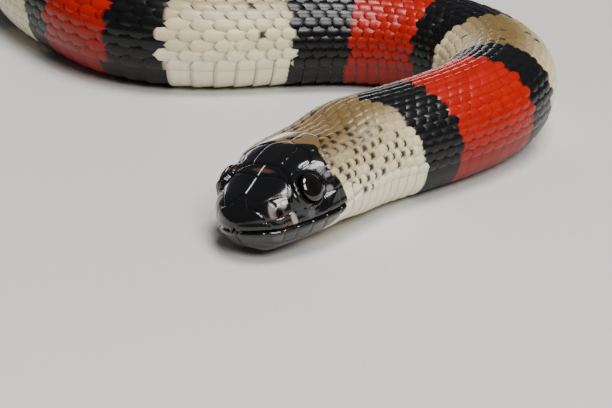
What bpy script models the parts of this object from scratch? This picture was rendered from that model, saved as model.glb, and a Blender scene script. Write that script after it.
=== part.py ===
"""A milk snake at rest on the floor, life size, as a still museum model.

The snake is drawn once, as a route on the floor and a cross-section that changes along it,
and is then parted by thin cuts into head, lower jaw, eyes, neck, lengths of trunk and tail.
Distances along the snake are in millimetres from the tip of the snout, and the meshes are
made in metres. The floor is z = 0 and the origin is the middle of the box on the floor.
"""

import math

import bmesh
import bpy
import numpy as np
from mathutils import Vector

MM = 0.001

# The route on the floor: where the snout starts, the way from snout to neck, and then the
# bends in order, each a length in mm and the degrees that it turns to the left.
HEAD_HEADING = 54.0
BENDS = [
    (8, 0), (18, -16.5), (65, 152), (28.5, -64.5), (90, -130), (38.5, 0), (112, 196),
    (46, 0), (64, -20), (84, 60), (60, 30), (62, 26), (64, -62),
]
TOTAL_LENGTH = sum(length for length, _ in BENDS)
ROUTE_STEP = 0.25

# Half of the width, (distance, size), and the other sizes as shares of it on the trunk.
HALF_WIDTH = [
    (0, 2.9), (2.7, 4.2), (6.5, 5.85), (10, 6.6), (15, 6.75), (22, 6.45), (35, 6.65), (60, 6.95),
    (100, 7.7), (150, 8.6), (250, 9.2), (400, 9.2), (500, 8.5), (570, 7.3), (625, 5.9),
    (680, 3.8), (720, 2.1), (733, 1.3), (738.5, 0.8), (TOTAL_LENGTH, 0.5),
]
TRUNK_TOP = 1.77
TRUNK_WIDEST = 0.96

# Heights above the floor on the head, (distance, height): crown, widest place, mouth, chin.
CROWN = [(0, 5.4), (2.6, 6.5), (6.5, 8.5), (10, 9.5), (15, 9.8), (22, 10.7)]
HEAD_WIDEST = [(0, 4.0), (6.5, 4.6), (15, 4.9), (22, 5.5)]
CHIN = [(0, 1.2), (3, 0.6), (10, 0.5), (17, 0.0), (22, 0.0)]
MOUTH = [(0, 3.3), (3, 3.1), (8, 3.3), (12, 4.0), (14.5, 4.6)]
NAPE_FROM, HEAD_END = 15.0, 22.0
MOUTH_CORNER = 14.5
SNOUT_ROUNDING = 2.6
SNOUT_TIP_HEIGHT = 4.1

# The head is rolled a little towards its right side, about a line at this height.
HEAD_ROLL = 8.5
ROLL_HEIGHT = 4.5
ROLL_FROM, ROLL_TO = 12.0, 26.0

# Cross-section: exponents of the curve above and below the widest place, and how far the
# curve runs past the floor, which cuts the flat belly that the snake rests on.
ROUND_ABOVE = 2.0
HEAD_ROUND_ABOVE = 2.7
ROUND_BELOW = 2.6
BELLY_PAST_FLOOR = 1.04

# Eyes: distance, side and height of the centre, size, and the room round them.
EYE_AT = 6.2
EYE_SIDE = 5.0
EYE_HEIGHT = 6.4
EYE_RADIUS = 1.43
EYE_ROOM = 0.25

# Nostrils: a small pit on each side of the snout.
NOSTRIL_AT = 2.4
NOSTRIL_SIDE = 4.2
NOSTRIL_HEIGHT = 4.8
NOSTRIL_RADIUS = 0.45
NOSTRIL_TALL = 1.3
NOSTRIL_SEGMENTS, NOSTRIL_RINGS = 10, 6

# Seams between the plates of the head, each a line of (distance, share), drawn for one side
# and mirrored. The share runs over the girth: 0 on the crown, 1 at the mouth, 2 under the chin.
LABIAL_TOP, LABIAL_FOOT = 0.80, 1.30
UPPER_LIP_SEAMS = [2.9, 4.4, 5.8, 7.4, 9.1, 11.2]
LOWER_LIP_SEAMS = [1.3, 2.6, 4.0, 5.6, 7.3, 9.2, 11.2]
SEAMS = [
    [(2.35, 0), (2.2, 0.05), (1.6, 0.13), (1.15, 0.25), (1.1, 0.5), (1.3, 0.78), (1.8, 1.0)],
    [(2.35, 0), (6.0, 0)], [(10.2, 0), (13.4, 0)],
    [(4.45, 0), (4.7, 0.16), (4.85, 0.32), (4.65, 0.45), (4.2, 0.56), (3.9, 0.63)],
    [(1.1, 0.42), (2.5, 0.46), (3.5, 0.55), (3.9, 0.63)],
    [(6.0, 0), (6.0, 0.17), (5.4, 0.33), (4.9, 0.48), (4.4, 0.53)],
    [(6.0, 0.17), (6.5, 0.2), (9.2, 0.17), (10.2, 0)],
    [(9.2, 0.17), (8.9, 0.3), (9.4, 0.37), (12.0, 0.33), (13.2, 0.15), (13.4, 0)],
    [(4.9, 0.48), (5.2, 0.44), (6.4, 0.4), (7.9, 0.42), (8.9, 0.3)],
    [(3.9, 0.63), (3.75, LABIAL_TOP)], [(4.4, 0.53), (4.7, 0.64), (4.6, LABIAL_TOP)],
    [(7.9, 0.58), (9.3, 0.54)], [(9.4, 0.37), (9.3, 0.54), (8.9, 0.66), (9.0, LABIAL_TOP)],
    [(9.1, 0.6), (11.3, 0.58)], [(10.9, 0.35), (11.3, 0.58), (11.2, LABIAL_TOP)],
    [(1.2, LABIAL_TOP), (4.9, LABIAL_TOP), (6.4, 0.83), (7.8, LABIAL_TOP), (11.6, LABIAL_TOP)],
    [(1.2, 1.0), (1.3, LABIAL_FOOT)],
    [(1.3, LABIAL_FOOT), (9.2, LABIAL_FOOT), (12.6, 1.22)],
    [(1.3, 2.0), (9.0, 2.0)], [(5.4, LABIAL_FOOT), (5.6, 2.0)], [(9.2, LABIAL_FOOT), (9.0, 2.0)],
]
SEAMS += [[(at, LABIAL_TOP), (at + 0.15, 1.0)] for at in UPPER_LIP_SEAMS]
SEAMS += [[(at, 1.0), (at + 0.2, LABIAL_FOOT)] for at in LOWER_LIP_SEAMS]
PLATE_RISE = 0.16
SEAM_WIDTH = 0.3
PLATES_END, PLATES_FADE = 14.0, 2.0
LIP_SWELL = 0.12
UPPER_LIP, LOWER_LIP = (0.92, 0.07), (1.12, 0.1)
LOWEST_PLATE = 0.3

# Belly scutes: how long each is, how far its rear edge stands out, also as the largest share
# of the half width, the step behind it, and the angles below the widest place that they span.
SCUTE_LENGTH = 7.5
SCUTE_RISE = 0.3
SCUTE_RISE_SHARE = 0.04
SCUTE_STEP = 0.4
SCUTE_FROM, SCUTE_TO = -62.0, -20.0

# Where the trunk is cut into lengths, and the gap of each cut.
NECK_END = 45.0
TRUNK_CUTS = [45, 84, 130, 175, 220, 275, 310, 345, 400, 455, 510, 565, 628]
TAIL_CUTS = [628, 686, TOTAL_LENGTH]
GAP = 0.3

# Mesh fineness: corners round the trunk and each part of the head, rings of the head and how
# they crowd at the snout, steps that an outline is measured in, and where head and jaw start.
TRUNK_SIDES = 20
HEAD_RINGS = 52
HEAD_CROWDING = 1.35
UPPER_SIDES = 41
LOWER_SIDES = 15
MOUTH_FLOOR_SIDES = 8
OUTLINE_STEPS = 40
HEAD_FROM, JAW_FROM = 0.08, 0.35

# Plain colours of the solids, as linear red, green and blue, each with its roughness.
BLACK = ("black_scales", (0.02, 0.02, 0.024), 0.25)
CREAM = ("cream_scales", (0.75, 0.68, 0.50), 0.35)
RED = ("red_scales", (0.62, 0.09, 0.03), 0.35)
EYE_BLACK = ("eye_black", (0.01, 0.01, 0.01), 0.05)


def eased(table, at):
    """Reads a table of (distance, size) pairs on a smooth curve that never overshoots."""
    xs, ys = (np.array(v, float) for v in zip(*table))
    slope = np.diff(ys) / np.diff(xs)
    inner = np.where(slope[1:] * slope[:-1] > 0,
                     2 * slope[1:] * slope[:-1] / (slope[1:] + slope[:-1] + 1e-12), 0.0)
    ends = np.concatenate([slope[:1], inner, slope[-1:]])
    at = np.clip(at, xs[0], xs[-1])
    i = np.clip(np.searchsorted(xs, at) - 1, 0, len(xs) - 2)
    step = xs[i + 1] - xs[i]
    t = (at - xs[i]) / step
    return ((2 * t**3 - 3 * t**2 + 1) * ys[i] + (t**3 - 2 * t**2 + t) * step * ends[i]
            + (3 * t**2 - 2 * t**3) * ys[i + 1] + (t**3 - t**2) * step * ends[i + 1])


def route():
    """The centre line on the floor as distances, headings in radians, x and y, in mm."""
    along = np.arange(0, TOTAL_LENGTH + ROUTE_STEP / 2, ROUTE_STEP)
    heading = np.full_like(along, HEAD_HEADING)
    start = 0.0
    for length, turn in BENDS:
        t = np.clip((along - start) / length, 0, 1)
        heading += turn * (3 * t**2 - 2 * t**3)
        start += length
    heading = np.radians(heading)
    x, y = (np.concatenate([[0], np.cumsum((f(heading)[1:] + f(heading)[:-1]) / 2 * ROUTE_STEP)])
            for f in (np.cos, np.sin))
    half = eased(HALF_WIDTH, along)
    middle = [((v - half).min() + (v + half).max()) / 2 for v in (x, y)]
    return along, heading, x - middle[0], y - middle[1]


ALONG, HEADING, ROUTE_X, ROUTE_Y = route()


def place(at, side, height):
    """The world place, in metres, of a point at a distance, to the left of travel, at a height.

    What the roll of the head would press below the floor lies flat on it.
    """
    t = np.clip((at - ROLL_FROM) / (ROLL_TO - ROLL_FROM), 0, 1)
    roll = math.radians(HEAD_ROLL) * (1 - 3 * t**2 + 2 * t**3)
    side, lift = np.asarray(side, float), np.asarray(height, float) - ROLL_HEIGHT
    height = np.maximum(ROLL_HEIGHT + lift * np.cos(roll) - side * np.sin(roll), 0.0)
    side = side * np.cos(roll) + lift * np.sin(roll)
    heading = np.interp(at, ALONG, HEADING)
    x = np.interp(at, ALONG, ROUTE_X) - side * np.sin(heading)
    y = np.interp(at, ALONG, ROUTE_Y) + side * np.cos(heading)
    return np.stack(np.broadcast_arrays(x, y, height), -1) * MM


def profile(at):
    """Half width, crown, widest height, lowest height and upper exponent of a section."""
    half = float(eased(HALF_WIDTH, at))
    if at >= HEAD_END:
        return half, TRUNK_TOP * half, TRUNK_WIDEST * half, 0.0, ROUND_ABOVE
    blend = float(np.clip((at - NAPE_FROM) / (HEAD_END - NAPE_FROM), 0, 1))
    blend = 3 * blend**2 - 2 * blend**3
    top = (1 - blend) * float(eased(CROWN, at)) + blend * TRUNK_TOP * half
    widest = (1 - blend) * float(eased(HEAD_WIDEST, at)) + blend * TRUNK_WIDEST * half
    low = float(eased(CHIN, at))
    if at < SNOUT_ROUNDING:
        swell = math.sqrt(1 - (1 - at / SNOUT_ROUNDING) ** 2)
        half *= swell
        top = SNOUT_TIP_HEIGHT + (top - SNOUT_TIP_HEIGHT) * swell
        widest = SNOUT_TIP_HEIGHT + (widest - SNOUT_TIP_HEIGHT) * swell
        low = SNOUT_TIP_HEIGHT + (low - SNOUT_TIP_HEIGHT) * swell
    return half, top, widest, low, HEAD_ROUND_ABOVE + blend * (ROUND_ABOVE - HEAD_ROUND_ABOVE)


def outline(at, angles):
    """Sides and heights of the section at a distance, for angles from its left, over the top."""
    half, top, widest, low, round_above = profile(at)
    cos, sin = np.cos(angles), np.sin(angles)
    above = sin >= 0
    power = np.where(above, 2 / round_above, 2 / ROUND_BELOW)
    side = half * np.sign(cos) * np.abs(cos) ** power
    depth = np.where(above, top - widest, (widest - low) * BELLY_PAST_FLOOR)
    height = widest + depth * np.sign(sin) * np.abs(sin) ** power
    return side, np.maximum(height, low)


def plate_lift(at, shares, reach):
    """How far the plates of the head stand out, for shares of a girth that is reach mm long."""
    seam = np.zeros_like(shares)
    for line in SEAMS:
        for (at_0, share_0), (at_1, share_1) in zip(line, line[1:]):
            way = np.array([at_1 - at_0, (share_1 - share_0) * reach])
            off = np.stack([np.full_like(shares, at - at_0), (shares - share_0) * reach], -1)
            t = np.clip(off @ way / (way @ way), 0, 1)
            gap = np.linalg.norm(off - t[:, None] * way, axis=1)
            seam = np.maximum(seam, np.exp(-(gap / SEAM_WIDTH) ** 2))
    lip = sum(np.exp(-((shares - middle) / wide) ** 2) for middle, wide in (UPPER_LIP, LOWER_LIP))
    fade = np.clip((PLATES_END + PLATES_FADE - at) / PLATES_FADE, 0, 1)
    return fade * (PLATE_RISE * (1 - seam) + LIP_SWELL * lip)


def spread(at, first, last, count, shares=None):
    """Section points from one angle to another, evenly apart along the outline, in metres.

    With shares of the half girth for the points, the plates of the head stand out on them.
    """
    angles = np.linspace(first, last, OUTLINE_STEPS * count)
    side, height = outline(at, angles)
    run = np.concatenate([[0], np.cumsum(np.hypot(np.diff(side), np.diff(height)))])
    picked = np.interp(np.linspace(0, run[-1], count), run, angles)
    side, height = outline(at, picked)
    if shares is not None:
        _, _, widest, low, _ = profile(at)
        out = np.stack([side, height - widest], -1)
        out /= np.linalg.norm(out, axis=1, keepdims=True) + 1e-9
        lift = plate_lift(at, shares, run[-1] / 2)
        side = side + lift * out[:, 0]
        height = np.maximum(height + lift * out[:, 1], min(low, LOWEST_PLATE))
    return place(at, side, height)


def mouth_angle(at):
    """How far below the widest place the mouth line lies, as an angle of the section."""
    _, _, widest, low, _ = profile(at)
    drop = (widest - float(eased(MOUTH, at))) / ((widest - low) * BELLY_PAST_FLOOR)
    return math.asin(min(max(drop, 0.0), 1.0) ** (ROUND_BELOW / 2))


def make_object(name, corners, faces, material):
    """One closed solid from corners in metres and faces, facing out and shaded smooth."""
    mesh = bpy.data.meshes.new(name)
    mesh.from_pydata([tuple(float(v) for v in c) for c in corners], [], faces)
    build = bmesh.new()
    build.from_mesh(mesh)
    bmesh.ops.recalc_face_normals(build, faces=build.faces)
    bmesh.ops.triangulate(build, faces=build.faces)
    build.to_mesh(mesh)
    build.free()
    mesh.shade_smooth()
    mesh.set_sharp_from_angle(angle=math.radians(40))
    mesh.materials.append(material)
    solid = bpy.data.objects.new(name, mesh)
    bpy.context.scene.collection.objects.link(solid)
    return solid


def loft(name, rings, material):
    """A solid through closed rings that have the same number of corners, with flat ends."""
    count = len(rings[0])
    corners = np.concatenate(rings)
    faces = [
        (i * count + j, i * count + (j + 1) % count,
         (i + 1) * count + (j + 1) % count, (i + 1) * count + j)
        for i in range(len(rings) - 1) for j in range(count)
    ]
    faces.append(tuple(range(count)))
    faces.append(tuple((len(rings) - 1) * count + j for j in range(count)))
    return make_object(name, corners, faces, material)


def paint(name, colour, roughness):
    """A plain material of one colour."""
    material = bpy.data.materials.new(name)
    material.use_nodes = True
    shader = material.node_tree.nodes["Principled BSDF"]
    shader.inputs["Base Color"].default_value = (*colour, 1.0)
    shader.inputs["Roughness"].default_value = roughness
    return material


def trunk_length(name, first, last, material):
    """A length of the trunk or tail between two distances, with flat ends across the route.

    Its belly carries scutes, each with a rear edge that stands out over the next at both sides.
    """
    count = max(2, round((last - first) / SCUTE_LENGTH))
    angles = np.arange(TRUNK_SIDES) * 2 * math.pi / TRUNK_SIDES
    below = np.degrees(np.arcsin(np.sin(angles)))
    scuted = (below > SCUTE_FROM) & (below < SCUTE_TO)
    rings = []
    for i in range(count):
        start, end = (first + (last - first) * (i + step) / count for step in (0, 1))
        for at, rise in ((start + SCUTE_STEP * (i > 0), 0.0), (end, SCUTE_RISE)):
            side, height = outline(at, angles)
            rise = min(rise, SCUTE_RISE_SHARE * float(eased(HALF_WIDTH, at)))
            rings.append(place(at, side + np.where(scuted, rise * np.sign(side), 0), height))
    return loft(name, rings, material)


def head_distances(first, last):
    """Ring distances on the head, close together at the round snout."""
    t = np.linspace(0, 1, HEAD_RINGS)
    return first + (last - first) * t**HEAD_CROWDING


def head(material):
    """The upper head with the palate above the mouth, and the whole section behind it."""
    rings = []
    shares = np.abs(np.linspace(-1, 1, UPPER_SIDES))
    for at in head_distances(HEAD_FROM, HEAD_END - GAP / 2):
        if at < MOUTH_CORNER:
            drop = mouth_angle(at)
            upper = spread(at, -drop, math.pi + drop, UPPER_SIDES, shares)
            upper_left, upper_right = upper[0], upper[-1]
            palate = np.linspace(upper_right, upper_left, LOWER_SIDES + 2)[1:-1]
            rings.append(np.concatenate([upper, palate]) + (0, 0, GAP / 2 * MM))
        else:
            drop = mouth_angle(MOUTH_CORNER)
            upper = spread(at, -drop, math.pi + drop, UPPER_SIDES, shares)
            lower = spread(at, math.pi + drop, 2 * math.pi - drop, LOWER_SIDES + 2)
            rings.append(np.concatenate([upper, lower[1:-1]]))
    return loft("head", rings, material)


def lower_jaw(material):
    """The lower jaw, from the chin to the corners of the mouth."""
    rings = []
    shares = 2 - np.abs(np.linspace(-1, 1, LOWER_SIDES + 2))
    for at in head_distances(JAW_FROM, MOUTH_CORNER - GAP):
        drop = mouth_angle(at)
        lower = spread(at, math.pi + drop, 2 * math.pi - drop, LOWER_SIDES + 2, shares)
        floor_of_mouth = np.linspace(lower[-1], lower[0], MOUTH_FLOOR_SIDES)[1:-1]
        ring = np.concatenate([lower, floor_of_mouth])
        ring[:, 2] = np.maximum(np.minimum(ring[:, 2], lower[0, 2]) - GAP / 2 * MM, 0.0)
        rings.append(ring)
    return loft("lower_jaw", rings, material)


def ball(name, at, side, height, radius, squash=1.0, segments=20, rings=12):
    """A ball on the head, at a distance, a side and a height in mm."""
    build = bmesh.new()
    bmesh.ops.create_uvsphere(build, u_segments=segments, v_segments=rings, radius=radius * MM)
    for corner in build.verts:
        corner.co.z *= squash
        corner.co += Vector(place(at, side, height).tolist())
    mesh = bpy.data.meshes.new(name)
    build.to_mesh(mesh)
    build.free()
    mesh.shade_smooth()
    solid = bpy.data.objects.new(name, mesh)
    bpy.context.scene.collection.objects.link(solid)
    return solid


def cut_by(solid, cutters):
    """Takes each cutter out of a solid and hides the cutter as a guide."""
    for cutter in cutters:
        cut = solid.modifiers.new("cut_" + cutter.name, "BOOLEAN")
        cut.operation = "DIFFERENCE"
        cut.solver = "EXACT"
        cut.object = cutter
        cutter.hide_render = True
        cutter.display_type = "WIRE"


def build():
    """Makes every named solid of the snake."""
    for old in list(bpy.data.objects):
        bpy.data.objects.remove(old)
    black, cream, red, eye_black = (paint(*finish) for finish in (BLACK, CREAM, RED, EYE_BLACK))

    head_solid = head(black)
    cutters = []
    for side_name, sign in (("left", -1), ("right", 1)):
        eye = ball("eye_" + side_name, EYE_AT, sign * EYE_SIDE, EYE_HEIGHT, EYE_RADIUS)
        eye.data.materials.append(eye_black)
        cutters.append(ball("socket_" + side_name, EYE_AT, sign * EYE_SIDE, EYE_HEIGHT,
                            EYE_RADIUS + EYE_ROOM))
        cutters.append(ball("nostril_" + side_name, NOSTRIL_AT, sign * NOSTRIL_SIDE,
                            NOSTRIL_HEIGHT, NOSTRIL_RADIUS, NOSTRIL_TALL, NOSTRIL_SEGMENTS,
                            NOSTRIL_RINGS))
    cut_by(head_solid, cutters)
    lower_jaw(black)

    trunk_length("neck", HEAD_END + GAP / 2, NECK_END - GAP / 2, cream)
    for i, (first, last) in enumerate(zip(TRUNK_CUTS, TRUNK_CUTS[1:])):
        trunk_length(f"trunk_{i + 1:02d}", first + GAP / 2, last - GAP / 2,
                     (black, red, cream)[i % 3])
    for i, (first, last) in enumerate(zip(TAIL_CUTS, TAIL_CUTS[1:])):
        end = last if last == TOTAL_LENGTH else last - GAP / 2
        trunk_length(f"tail_{i + 1}", first + GAP / 2, end, (cream, black)[i % 2])


build()
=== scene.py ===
"""A life-size museum model of a milk snake at rest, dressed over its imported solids.

The snake is drawn from its route on the floor and the cross-section along it, with the same
named sizes as the solids. One skin covers head, neck, trunk and tail. Rows of smooth
overlapping scales and broad belly scutes lie on it, the head carries its large shields, and
the eyes are glossy balls. Distances along the snake are millimetres from the tip of the snout.
A girth share runs from 0 on the back to 1 under the belly, negative on the snake's left.
"""

import logging
import math
from dataclasses import dataclass, field
from enum import Enum

import bpy
import numpy as np
from mathutils import Matrix, Vector
from mathutils.kdtree import KDTree


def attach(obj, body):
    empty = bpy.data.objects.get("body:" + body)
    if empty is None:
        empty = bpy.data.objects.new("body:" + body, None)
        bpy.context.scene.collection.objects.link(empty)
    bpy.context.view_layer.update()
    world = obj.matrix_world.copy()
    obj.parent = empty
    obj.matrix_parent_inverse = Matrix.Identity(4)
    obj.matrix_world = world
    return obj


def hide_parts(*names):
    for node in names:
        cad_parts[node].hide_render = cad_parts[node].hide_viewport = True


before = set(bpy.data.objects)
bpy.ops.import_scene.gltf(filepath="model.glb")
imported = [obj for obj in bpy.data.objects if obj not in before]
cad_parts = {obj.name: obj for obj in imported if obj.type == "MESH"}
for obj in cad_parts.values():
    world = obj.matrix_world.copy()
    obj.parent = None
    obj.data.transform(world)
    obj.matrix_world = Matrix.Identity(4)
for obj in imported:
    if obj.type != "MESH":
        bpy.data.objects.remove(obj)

MM = 0.001
LOG = logging.getLogger("milk_snake")
Array = np.ndarray
Table = tuple[tuple[float, float], ...]
# Blender's noise keeps near its middle, so this span of it is stretched to the whole range.
NOISE_SPAN = {"From Min": 0.3, "From Max": 0.7}


def linear(colour: str) -> Array:
    """Turns an sRGB hex colour into linear red, green and blue.

    Args:
        colour: A hash and six hex digits.

    Returns:
        The three linear channels.
    """
    parts = [int(colour[i:i + 2], 16) / 255 for i in (1, 3, 5)]
    return np.array([c / 12.92 if c <= 0.04045 else ((c + 0.055) / 1.055) ** 2.4 for c in parts])


def smooth(t: Array) -> Array:
    """The smooth step of t, from 0 to 1."""
    t = np.clip(t, 0, 1)
    return 3 * t**2 - 2 * t**3


def bell(t: Array) -> Array:
    """A bell curve of t: 1 in the middle and close to 0 from t = 2 on."""
    return np.exp(-t**2)


def mix(first: Array, second: Array, amount: Array) -> Array:
    """Goes from first to second as the amount goes from 0 to 1."""
    return first * (1 - amount) + second * amount


def eased(table: Table, at: Array) -> Array:
    """Reads a table of pairs on a smooth curve that never overshoots.

    Args:
        table: Pairs of distance and size.
        at: The distances to read at.

    Returns:
        The size at each distance.
    """
    xs, ys = (np.array(v, float) for v in zip(*table))
    slope = np.diff(ys) / np.diff(xs)
    inner = np.where(slope[1:] * slope[:-1] > 0,
                     2 * slope[1:] * slope[:-1] / (slope[1:] + slope[:-1] + 1e-12), 0.0)
    ends = np.concatenate([slope[:1], inner, slope[-1:]])
    at = np.clip(at, xs[0], xs[-1])
    i = np.clip(np.searchsorted(xs, at) - 1, 0, len(xs) - 2)
    step = xs[i + 1] - xs[i]
    t = (at - xs[i]) / step
    return ((2 * t**3 - 3 * t**2 + 1) * ys[i] + (t**3 - 2 * t**2 + t) * step * ends[i]
            + (3 * t**2 - 2 * t**3) * ys[i + 1] + (t**3 - t**2) * step * ends[i + 1])


@dataclass
class Body:
    """The form of the whole snake: its route on the floor and its section along the way."""

    # The route: its heading at the snout in degrees, then each bend's length in mm and turn.
    head_heading: float = 54.0
    bends: Table = ((8, 0), (18, -16.5), (65, 152), (28.5, -64.5), (90, -130), (38.5, 0),
                    (112, 196), (46, 0), (64, -20), (84, 60), (60, 30), (62, 26), (64, -62))
    # Sizes in mm by the distance in mm.
    half_width: Table = ((0, 2.9), (2.7, 4.2), (6.5, 5.85), (10, 6.6), (15, 6.75), (22, 6.45),
                         (35, 6.65), (60, 6.95), (100, 7.7), (150, 8.6), (250, 9.2), (400, 9.2),
                         (500, 8.5), (570, 7.3), (625, 5.9), (680, 3.8), (720, 2.1), (733, 1.3),
                         (738.5, 0.8), (740, 0.5))
    crown: Table = ((0, 5.4), (2.6, 6.5), (6.5, 8.5), (10, 9.5), (15, 9.8), (22, 10.7))
    head_widest: Table = ((0, 4.0), (6.5, 4.6), (15, 4.9), (22, 5.5))
    chin: Table = ((0, 1.2), (3, 0.6), (10, 0.5), (17, 0.0), (22, 0.0))
    mouth: Table = ((0, 3.3), (3, 3.1), (8, 3.3), (12, 4.0), (14.5, 4.6))
    # On the trunk, heights are shares of the half width.
    trunk_top: float = 1.77
    trunk_widest: float = 0.96
    # The head's form runs into the trunk's between these distances.
    blend_from: float = 15.0
    head_end: float = 22.0
    mouth_corner: float = 14.5
    snout_rounding: float = 2.6
    snout_tip_height: float = 4.1
    # The roll of the head in degrees, about a line at this height, which fades on the neck.
    head_roll: float = 8.5
    roll_height: float = 4.5
    roll_from: float = 12.0
    roll_to: float = 26.0
    # How square the sections are, where 2 is an ellipse.
    round_above: float = 2.0
    head_round_above: float = 2.7
    round_below: float = 2.6
    # The belly's curve aims below the floor by this share, so that it lies flat on it.
    belly_past_floor: float = 1.04
    # A small step for finding which way the outline faces, as a girth share.
    probe: float = 0.004
    # How finely the route and the tables are drawn, in mm, and steps round a section.
    route_step: float = 0.25
    snout_start: float = 0.028
    snout_steps: int = 90
    head_step: float = 0.2
    trunk_step: float = 1.0
    head_step_to: float = 26.0
    share_steps: int = 200
    angle_steps: int = 1200
    # Folds on the inner side of bends: how tight a bend has them, their depth and spacings.
    fold_from: float = 0.22
    fold_depth: float = 0.32
    fold_spacings: tuple[float, float] = (4.3, 6.1)
    length: float = field(init=False)

    def __post_init__(self) -> None:
        """Works out the route and the tables that every surface is read from."""
        self.length = sum(step for step, _ in self.bends)
        self._lay_route()
        self._tabulate()

    def _lay_route(self) -> None:
        """Integrates the bends into headings and places along the floor."""
        step = self.route_step
        along = np.arange(0, self.length + step / 2, step)
        heading = np.full_like(along, self.head_heading)
        start = 0.0
        for length, turn in self.bends:
            heading += turn * smooth((along - start) / length)
            start += length
        heading = np.radians(heading)
        x, y = (np.concatenate([[0], np.cumsum((f(heading)[1:] + f(heading)[:-1]) * step / 2)])
                for f in (np.cos, np.sin))
        half = eased(self.half_width, along)
        middle = [((v - half).min() + (v + half).max()) / 2 for v in (x, y)]
        self.along, self.heading = along, heading
        self.x, self.y = x - middle[0], y - middle[1]

    def profile(self, at: Array) -> tuple[Array, ...]:
        """Sizes of the sections at distances.

        Args:
            at: Distances along the snake.

        Returns:
            Half width, top, widest height and lowest height in mm, and the upper exponent.
        """
        half = eased(self.half_width, at)
        blend = smooth((at - self.blend_from) / (self.head_end - self.blend_from))
        top = mix(eased(self.crown, at), self.trunk_top * half, blend)
        widest = mix(eased(self.head_widest, at), self.trunk_widest * half, blend)
        low = eased(self.chin, at)
        swell = np.sqrt(1 - np.clip(1 - at / self.snout_rounding, 0, 1)**2)
        tip = self.snout_tip_height
        top, widest, low = (tip + (v - tip) * swell for v in (top, widest, low))
        power = mix(self.head_round_above, self.round_above, blend)
        return half * swell, top, widest, low, power

    def _tabulate(self) -> None:
        """Tabulates sides and heights by distance and girth share, evenly by arc length."""
        snout = np.linspace(self.snout_start, 1, self.snout_steps)**2
        head = np.arange(1 + self.head_step, self.head_step_to, self.head_step)
        trunk = np.arange(self.head_step_to, self.length, self.trunk_step)
        self.stations = np.unique(np.round(np.concatenate([snout, head, trunk,
                                                           [self.length]]), 5))
        self.shares = np.linspace(0, 1, self.share_steps + 1)
        angles = np.linspace(math.pi / 2, -math.pi / 2, self.angle_steps + 1)
        half, top, widest, low, power = (v[:, None] for v in self.profile(self.stations))
        cos, sin = np.cos(angles), np.sin(angles)
        above = sin >= 0
        exponent = np.where(above, 2 / power, 2 / self.round_below)
        side = half * np.abs(cos) ** exponent
        depth = np.where(above, top - widest, (widest - low) * self.belly_past_floor)
        height = np.maximum(widest + depth * np.sign(sin) * np.abs(sin) ** exponent, low)
        run = np.cumsum(np.hypot(np.diff(side), np.diff(height)), axis=1)
        run = np.concatenate([np.zeros((len(run), 1)), run], axis=1)
        self.side_table = np.empty((len(run), len(self.shares)))
        self.height_table = np.empty_like(self.side_table)
        self.mouth_share = np.empty(len(run))
        at = np.minimum(self.stations, self.mouth_corner)
        low_at, widest_at = self.profile(at)[3], self.profile(at)[2]
        drop = (widest_at - eased(self.mouth, at)) / ((widest_at - low_at)
                                                      * self.belly_past_floor)
        drop = np.arcsin(np.clip(drop, 0, 1) ** (self.round_below / 2))
        for i, way in enumerate(run):
            wanted = self.shares * way[-1]
            self.side_table[i] = np.interp(wanted, way, side[i])
            self.height_table[i] = np.interp(wanted, way, height[i])
            self.mouth_share[i] = np.interp(-drop[i], angles[::-1], way[::-1]) / way[-1]

    def share_of(self, at: Array, turn: Array) -> Array:
        """Girth shares of head turns, which are 0 on the crown, 1 at the mouth, 2 at the chin.

        Args:
            at: Distances along the snake.
            turn: Head turns, negative on the snake's left.

        Returns:
            Girth shares with the sign of the turns.
        """
        mouth = np.interp(at, self.stations, self.mouth_share)
        size = np.abs(turn)
        share = np.where(size <= 1, size * mouth, mouth + (size - 1) * (1 - mouth))
        return np.sign(turn) * share

    def turn_of(self, at: Array, share: Array) -> Array:
        """Head turns of girth shares, the inverse of share_of, without the sign.

        Args:
            at: Distances along the snake.
            share: Girth shares.

        Returns:
            Head turns from 0 to 2.
        """
        mouth = np.clip(np.interp(at, self.stations, self.mouth_share), 0.05, 0.95)
        size = np.abs(share)
        return np.where(size <= mouth, size / mouth, 1 + (size - mouth) / (1 - mouth))

    def section(self, at: Array, share: Array) -> tuple[Array, Array]:
        """Points of the outline, read from the tables.

        Args:
            at: Distances along the snake.
            share: Girth shares, negative on the snake's left.

        Returns:
            Sides and heights in mm.
        """
        i = np.clip(np.searchsorted(self.stations, at) - 1, 0, len(self.stations) - 2)
        t = (np.clip(at, self.stations[0], self.length) - self.stations[i])
        t = t / (self.stations[i + 1] - self.stations[i])
        size = np.clip(np.abs(share), 0, 1) * (len(self.shares) - 1)
        j = np.clip(size.astype(int), 0, len(self.shares) - 2)
        u = size - j
        picked = [((1 - t) * ((1 - u) * grid[i, j] + u * grid[i, j + 1])
                   + t * ((1 - u) * grid[i + 1, j] + u * grid[i + 1, j + 1]))
                  for grid in (self.side_table, self.height_table)]
        return np.where(share < 0, -picked[0], picked[0]), picked[1]

    def place(self, at: Array, side: Array, height: Array) -> Array:
        """Puts points of sections into the world, with the roll of the head.

        Args:
            at: Distances along the snake.
            side: How far to the left of travel each point lies, in mm.
            height: Heights in mm before the roll.

        Returns:
            Places in metres.
        """
        turned = math.radians(self.head_roll) * (
            1 - smooth((at - self.roll_from) / (self.roll_to - self.roll_from)))
        lift = height - self.roll_height
        rolled = side * np.cos(turned) + lift * np.sin(turned)
        height = self.roll_height + lift * np.cos(turned) - side * np.sin(turned)
        heading = np.interp(at, self.along, self.heading)
        x = np.interp(at, self.along, self.x) - rolled * np.sin(heading)
        y = np.interp(at, self.along, self.y) + rolled * np.cos(heading)
        return np.stack(np.broadcast_arrays(x, y, height), -1) * MM

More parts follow.
